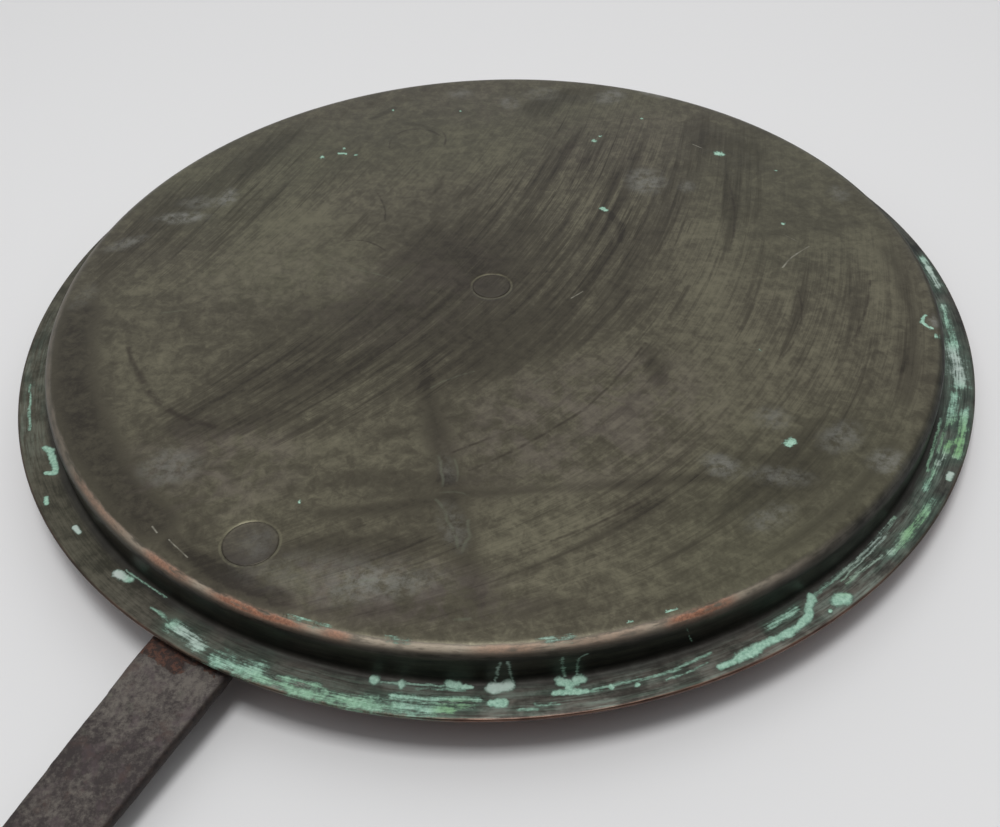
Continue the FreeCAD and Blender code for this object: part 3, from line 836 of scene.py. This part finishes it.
def cell_zones(verts, faces, zones):
    """Material numbers: first the cells of the plate, then the skirt's, then the copper side."""
    seen = view_from_lid(np.asarray(verts, float))
    middle = np.array([seen[list(face)].mean(axis=0) for face in faces])
    zones = np.array(zones)
    found = np.full(len(faces), len(PLATE_CELLS) + len(SKIRT_CELLS))
    for zone, cells, first in ((PLATE, PLATE_CELLS, 0), (SKIRT, SKIRT_CELLS, len(PLATE_CELLS))):
        for k, (x0, y0, x1, y1) in enumerate(cells):
            inside = (middle[:, :2] >= (x0, y0)).all(axis=1) & (middle[:, :2] < (x1, y1)).all(axis=1)
            found[(zones == zone) & inside] = first + k
    return found


# Materials

def tarnish(p):
    """Colours plate, edge, wall and flange with tarnish. Returns roughness and relief.

    A brown deposit lies on the dull tin. A cloth has combed it into streaks along the swirl.
    """
    cloud = p.noise(p.plane, 60, 2, 0.5, 0.4)
    mottle = p.noise(p.plane, 13, 4, 0.65, 0.7)
    smudge = p.flecks(5, 3, 0.7, 0.5)
    grain = p.flecks(1.8, 3, 0.75)
    wide = p.drawn(120, 7, 0.65, 1)
    comb = p.drawn(80, 2.6, 0.7, 4)
    hair = p.drawn(50, 0.9, 0.75, 8, 0.05)
    on_plate = p.radius.step(175, 169)
    combed = p.combed.least(1.6)
    gate = (combed * 0.85 + 0.15) * on_plate
    streak = (wide - 0.5) * 1.4 + (comb - 0.5) * 2.2 + (hair - 0.5) * 1.6

    deposit = p.dark * 0.92 + combed * 0.02 + streak * gate + (mottle - 0.5) * 0.9
    cover = deposit.step(0.14, 0.66)
    gaps = wide.step(0.54, 0.68) * 0.15 + comb.step(0.56, 0.66) * 0.20
    line = (hair - 0.5) + (comb - 0.5) * 0.5 - gaps + 0.08
    stain = p.stain * 0.9 + (smudge - 0.5) * 1.2 + (mottle - 0.5) * 1.2 + (grain - 0.5) * 0.8
    fine = (mottle - 0.5) * 0.6 + (smudge - 0.5) * 0.85 + (grain - 0.5) * 0.35
    tone = p.lights * 0.15 + (cloud - 0.5) * 0.40 + fine * (1 - cover * 0.4) - cover * 0.30
    tone = tone + line * gate * (1 - cover * 0.5) - p.dark * 0.05 - stain.step(0.05, 0.5) * 0.28 + 0.557
    p.colour = p.mix(tone.step(0, 0.5), (52, 48, 41), (78, 74, 62))
    p.lay(tone.step(0.4, 1), (114, 110, 92))

    olive = p.olive + (cloud - 0.5) * 0.8 - deposit * 0.2
    p.lay((olive * 0.4).clamped(), tone.clamped(), (56, 56, 43), (106, 106, 84))
    violet = p.violet * mottle.step(0.38, 0.62)
    p.lay((violet * 0.5).clamped(), tone.clamped(), (64, 57, 54), (114, 105, 99))
    p.lay((p.bloom * p.flecks(4, 4, 0.75).step(0.32, 0.66) * 0.72).clamped(), (134, 134, 127))
    return (mottle - 0.5) * 0.2 + cover * 0.06 + 0.42, grain * 0.3 + comb * on_plate * 0.3


def verdigris(p, cover):
    """Lays verdigris on: a dark green film where it is thin, a chalky crust where it is thick."""
    mint = p.mix(p.flecks(1.3).step(0.25, 0.72), (134, 177, 155), (182, 221, 200))
    mint = p.mix((p.limed * 0.8).clamped(), mint, (140, 188, 134))
    mint = p.mix((p.whited * 0.85).clamped(), mint, (200, 212, 205))
    p.lay(cover.step(0, 0.5) * 0.65, (74, 99, 85))
    p.lay(cover.step(0.12, 0.95) * 0.95, mint)


def plate_material(cell):
    """Tarnished tin on one cell of the plate, with scratches and a few specks of verdigris."""
    p = Paint("tinned_plate", cell)
    rough, relief = tarnish(p)
    near = p.shifted(1, 9)
    breaks = p.flecks(7).step(0.36, 0.56)
    for name, rows, low, high, broken, whole, colour in (
            ("scratches", SCRATCHES, -0.2, 0.9, 0.6, 0.1, (52, 46, 40)),
            ("bright", BRIGHT_SCRATCHES, 0, 0.8, 0.6, 0.2, (158, 156, 142)),
            ("faint", FAINT_LINES, -0.2, 0.8, 0.24, 0.02, (118, 124, 106))):
        p.lay(p.strokes(name, near, rows).step(low, high) * (breaks * broken + whole), colour)

    for at, face, worn in (((0, 0), CENTRE_FACE, 0.15), (RIVET_PLACE, EDGE_FACE, 0.35)):
        away = p.measure("DISTANCE", p.plane, (*at, 0))
        p.lay(away.step(face, face - 0.8) * worn, (74, 69, 68))
        p.lay((away - (face + 0.55)).size().step(0.75, 0.15) * (breaks * 0.42 + 0.10), (122, 119, 98))
        p.lay((away - (face - 0.25)).size().step(0.5, 0.1) * (breaks * 0.35 + 0.25), (48, 43, 37))

    crust = p.strokes("specks", p.shifted(2.4, 2.6, 3), PLATE_VERDIGRIS)
    cover = (crust + (p.flecks(1) - 0.5) * 1.6).step(-0.1, 0.8)
    verdigris(p, cover)
    return p.finish((rough + cover * 0.4).clamped(), 0.85 - cover * 0.8, relief, 0.12)


def skirt_material(cell):
    """Tarnished tin on one cell of edge, wall and flange: copper and a painted highlight on the edge,
    painted shade on the wall, verdigris below.
    """
    p = Paint("tinned_skirt", cell)
    rough, relief = tarnish(p)
    # the angle round the lid, 0 nearest the viewer, with its seam on the far side
    turned = p.x.math("ARCTAN2", p.y * -1)
    fine = p.noise(p.vector(turned * 17, p.radius * 1.3, p.z * 1.3), 1, 4)
    lanes = p.noise(p.vector(turned * 8, p.radius * 0.45, p.z * 0.45), 1, 3, 0.6)
    patchy = p.flecks(12, 4, 0.68)
    crumbs = p.flecks(1)
    clump = p.flecks(5, 3, 0.65)

    # bare metal outside the plate: grey in front, olive on the left, nearly black on the right
    weave = (patchy * 0.62 + fine * 0.38).step(0.37, 0.62)
    metal = p.mix(weave, (64, 62, 57), (114, 109, 101))
    metal = p.mix(p.x.step(-70, -150) * 0.8, metal, p.mix(weave, (57, 56, 45), (88, 86, 71)))
    metal = p.mix(p.x.step(90, 160) * 0.8, metal, p.mix(weave, (34, 37, 36), (68, 71, 64)))
    p.lay(p.radius.step(174.5, 177.5), metal)

    # a thin green film on the flange; painted shade on the wall and in the corner at its foot
    right = p.x.step(110, 165)
    film = (fine * 0.5 + lanes * 0.5).step(0.42, 0.63) * p.radius.step(177.8, 180) * p.greened.clamped()
    film = film * (1 - right * p.radius.step(185.5, 189.5) * 0.85)
    p.lay(film * (0.65 - right * 0.15), patchy.step(0.4, 0.6), (90, 110, 98), (142, 158, 146))
    # painted shade in the concave corner between the wall and the flange
    corner = p.radius.step(176, 177.5) * p.radius.step(182.6, 179.8) * p.z.step(5, 1)
    p.lay(corner * (clump * 0.4 + 0.6), (40, 38, 34))
    # painted shade: the wall and the lower part of the rounded edge darkened nearly to black, a little less
    # on the left
    wall_shade = p.radius.step(176.2, 177.4) * p.z.step(0.6, 2.4) * p.z.step(14, 12.3)
    wall_shade = wall_shade * (0.85 - p.x.step(-90, -150) * 0.25)
    p.lay(wall_shade, lanes.step(0.4, 0.6), (26, 27, 23), (46, 46, 38))

    # the rounded edge, worn and with a painted highlight on it, brightest in front: how far down it a place
    # lies, the borders made ragged
    worn = p.noise(p.vector(turned * 20, p.radius * 0.5, p.z * 0.5), 1, 4, 0.65)
    fall = p.radius - PLATE_END + (worn - 0.5) * 1.8
    edge = fall.step(0.8, 2) * fall.step(4.4, 3.5)
    core = fall.step(1.3, 2.3) * fall.step(3.8, 2.9)
    # painted highlight: a bright core along the edge, on the near side only
    front = p.y.step(-60, -178) * core * (worn.step(0.35, 0.6) * 0.5 + 0.5)
    # worn tin and painted highlight together: a pale band kept to the near side and off the right
    rubbed_and_highlit = edge * p.y.step(110, 0) * p.x.step(120, 50) * (worn.step(0.30, 0.60) * 0.5 + 0.5)
    beige = p.mix(front, (101, 94, 82), (222, 207, 184))
    p.lay(rubbed_and_highlit * 0.85, worn.step(0.4, 0.7) * 0.6, beige, (122, 110, 96))
    copper = (edge * (core * 0.8 + 0.2) * p.coppered * worn.step(0.28, 0.52)).clamped()
    p.lay(copper * 0.85, crumbs.step(0.35, 0.65), (138, 88, 66), (184, 126, 96))

    # the cut rim, copper in front
    sides = p.x.size().step(85, 150).most(p.y.step(-60, 20))
    cut = p.mix(fine.step(0.35, 0.65), (74, 51, 43), (126, 88, 73))
    p.lay(p.radius.step(190.9, 191.6) * 0.8, sides * 0.8, cut, (60, 54, 47))

    halo = (p.broken + (fine - 0.5) * 4 + (clump - 0.5) * 2).step(-2, 0.6)
    p.lay(halo * p.radius.step(178.2, 180) * 0.36, (90, 112, 98))
    near = p.shifted(1.7, 4, 2)
    whole = p.strokes("mint", near, MINT) + (crumbs - 0.5) * 0.5 + (clump - 0.5) * 1.1
    thin = p.strokes("thin", near, THIN) + (crumbs - 0.5) * 1.3 + (fine - 0.5) * 2.6
    broken = p.broken + (crumbs - 0.5) * 0.9 + (fine - 0.5) * 2.8 + (clump - 0.5) * 2.2
    cover = whole.step(-0.15, 0.75).most(thin.step(-0.2, 1.2) * 0.65).most(broken.step(-0.3, 1.5))
    verdigris(p, cover)
    rough = rough + cover * 0.4 + rubbed_and_highlit * 0.12 + corner * 0.2 + edge * right * 0.3
    metallic = (0.85 - cover * 0.8 - rubbed_and_highlit * 0.55 - corner * 0.3).clamped()
    raised = (p.broken + (p.flecks(2) - 0.5) * 2).step(0.1, 0.6)
    return p.finish(rough.clamped(), metallic, relief + raised * 0.6, 0.15)


def copper_material():
    """The copper side: old brown patina, redder where it is worn."""
    p = Paint("copper_patina")
    spots = p.flecks(9, 4)
    p.colour = p.mix(p.flecks(60, 5, 0.62, 0.5).step(0.32, 0.68), (104, 62, 44), (150, 92, 64))
    p.lay(spots.step(0.54, 0.7) * 0.6, (74, 48, 38))
    p.lay(p.flecks(20, 4).step(0.6, 0.72) * 0.35, (96, 112, 88))
    rough = ((spots - 0.5) * 0.3 + 0.36).clamped()
    return p.finish(rough, 0.9, spots * 0.4 + p.flecks(1.6, 2, 0.6) * 0.2, 0.1)


def iron_material():
    """Forged iron: dark mottled scale, rust where it leaves the lid, painted shade on its steep sides."""
    p = Paint("forged_iron")
    mottle = p.flecks(7, 5, 0.75, 0.3)
    fine = p.flecks(1.8, 4, 0.75)
    tone = (mottle - 0.5) * 1.8 + (p.flecks(26, 3, 0.6) - 0.5) + (fine - 0.5) * 2.2
    tone = tone + p.radius.step(245, 200) * 0.24 + 0.21
    p.colour = p.mix(tone.step(0, 1), (54, 47, 46), (108, 102, 95))
    p.lay(p.flecks(6).step(0.50, 0.66) * 0.5, (84, 72, 74))
    p.lay(p.flecks(9, 4).step(0.52, 0.68) * 0.5, (78, 60, 54))
    p.lay(p.flecks(11, 4).step(0.58, 0.70) * 0.4, (104, 104, 92))
    # painted shade on the strap's steep sides, read from how steep each face is
    side = (p.side + (mottle - 0.5) * 0.5 + (fine - 0.5) * 0.5).step(0.08, 0.50)
    p.lay(side * 0.85, fine.step(0.4, 0.6), (36, 31, 30), (54, 44, 40))
    near = p.vectors("MULTIPLY", p.shifted(6, 5, 4), (1, 1, 0))
    rust = (p.strokes("rust_at_rim", near, RUST) + (fine - 0.5) * 1.2).step(0, 0.3)
    p.lay(rust * 0.9, fine.step(0.45, 0.6), (46, 30, 24), (88, 54, 40))
    rough = ((fine - 0.5) * 0.3 + 0.64).clamped()
    return p.finish(rough, 0.25, mottle * 0.8 + fine * 0.5 + rust * 0.6, 0.25, 0.35)


def floor_material():
    """Plain pale table."""
    material = bpy.data.materials.new("table")
    material.use_nodes = True
    nodes = Nodes(material.node_tree)
    place = nodes.node("TexCoord", {}, "Object")
    faint = nodes.node("TexNoise", {"Vector": place, "Scale": 1.5})
    shader = nodes.tree.nodes["Principled BSDF"].inputs
    colour = nodes.mix(faint, (0.785, 0.785, 0.785, 1), (0.80, 0.80, 0.80, 1))
    feed(nodes.tree, shader["Base Color"], colour)
    shader["Roughness"].default_value = 0.7
    shader["Specular IOR Level"].default_value = 0.2
    return material


# Build

plate_tins = [plate_material(cell) for cell in PLATE_CELLS]
skirt_tins = [skirt_material(cell) for cell in SKIRT_CELLS]
copper, iron = copper_material(), iron_material()

verts, faces, zones = lid_mesh()
zones = cell_zones(verts, faces, zones)
lid = make_piece("lid", beaten(verts), faces, zones, [*plate_tins, *skirt_tins, copper])
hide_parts("lid_sheet")

verts, faces, zones = rivet_mesh(CENTRE_FACE, CENTRE_SHANK, *CENTRE_HEAD, 0)
centre_rivet = make_piece("centre_rivet_hammered", beaten(verts), faces, zones, [plate_tins[0], copper])
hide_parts("centre_rivet")

verts, faces, zones = rivet_mesh(EDGE_FACE, EDGE_SHANK, *EDGE_HEAD, EDGE_RIVET_AT)
edge_rivet = make_piece("edge_rivet_hammered", beaten(verts), faces, zones, [plate_tins[2], copper])
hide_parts("edge_rivet")

verts, faces, zones, side = handle_mesh()
handle = make_piece("handle", verts, faces, zones, [iron], side)
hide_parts("strap_handle")

# Table, light, camera

bpy.ops.mesh.primitive_plane_add(size=40, location=(0, 0, 0))
table = bpy.context.object
table.name = "table"
table.data.materials.append(floor_material())

# The room: dark behind the viewer, brighter overhead and ahead
away = VIEW.to_3x3() @ Vector((0, 1, 0))
away.z = 0
away.normalize()
world = bpy.data.worlds.new("studio")
bpy.context.scene.world = world
world.use_nodes = True
world.node_tree.nodes.clear()
room = Nodes(world.node_tree)
coords = room.node("TexCoord", {}, "Generated")
glow = room.measure("DOT_PRODUCT", coords, away * 0.8 + Vector((0, 0, 0.6)))
sky = room.mix(glow.step(-0.4, 0.95), (0.04, 0.04, 0.042, 1), (0.81, 0.81, 0.82, 1))
room.end("ShaderNodeOutputWorld", room.node("Background", {0: sky}))

lamp_data = bpy.data.lights.new("softbox", "AREA")
lamp_data.shape = "RECTANGLE"
lamp_data.size = 0.45
lamp_data.size_y = 0.45
lamp_data.energy = 9.7
lamp = linked("softbox", lamp_data)
lamp.location = Vector((0.045, 0.05, 1.5))
lamp.rotation_mode = "QUATERNION"
lamp.rotation_quaternion = (Vector((-0.1, 0, 0)) - lamp.location).to_track_quat("-Z", "Y")

# The camera, fitted to the photo: its place in lid radii and its tilt, in view axes
CAMERA_PLACE = Vector((0.0061, -1.9583, 1.5776)) * LID_RADIUS
LOOK = Vector((0, 0.7222, -0.6916)).normalized()
ROLL = math.radians(-2.55)
camera_data = bpy.data.cameras.new("camera")
camera_data.sensor_width = 36
camera_data.lens = 41.41
camera_data.clip_start = 0.01
camera_data.clip_end = 50
camera = linked("camera", camera_data)
bpy.context.scene.camera = camera
level_up = Vector((0, -LOOK.z, LOOK.y))
right = Vector((1, 0, 0)) * math.cos(ROLL) + level_up * math.sin(ROLL)
turn = VIEW.to_3x3().normalized()
axes = Matrix((turn @ right, turn @ right.cross(LOOK), turn @ -LOOK)).transposed()
camera.matrix_world = Matrix.Translation(VIEW @ CAMERA_PLACE) @ axes.to_4x4()

bpy.context.scene.view_settings.view_transform = "Standard"

bpy.context.view_layer.update()
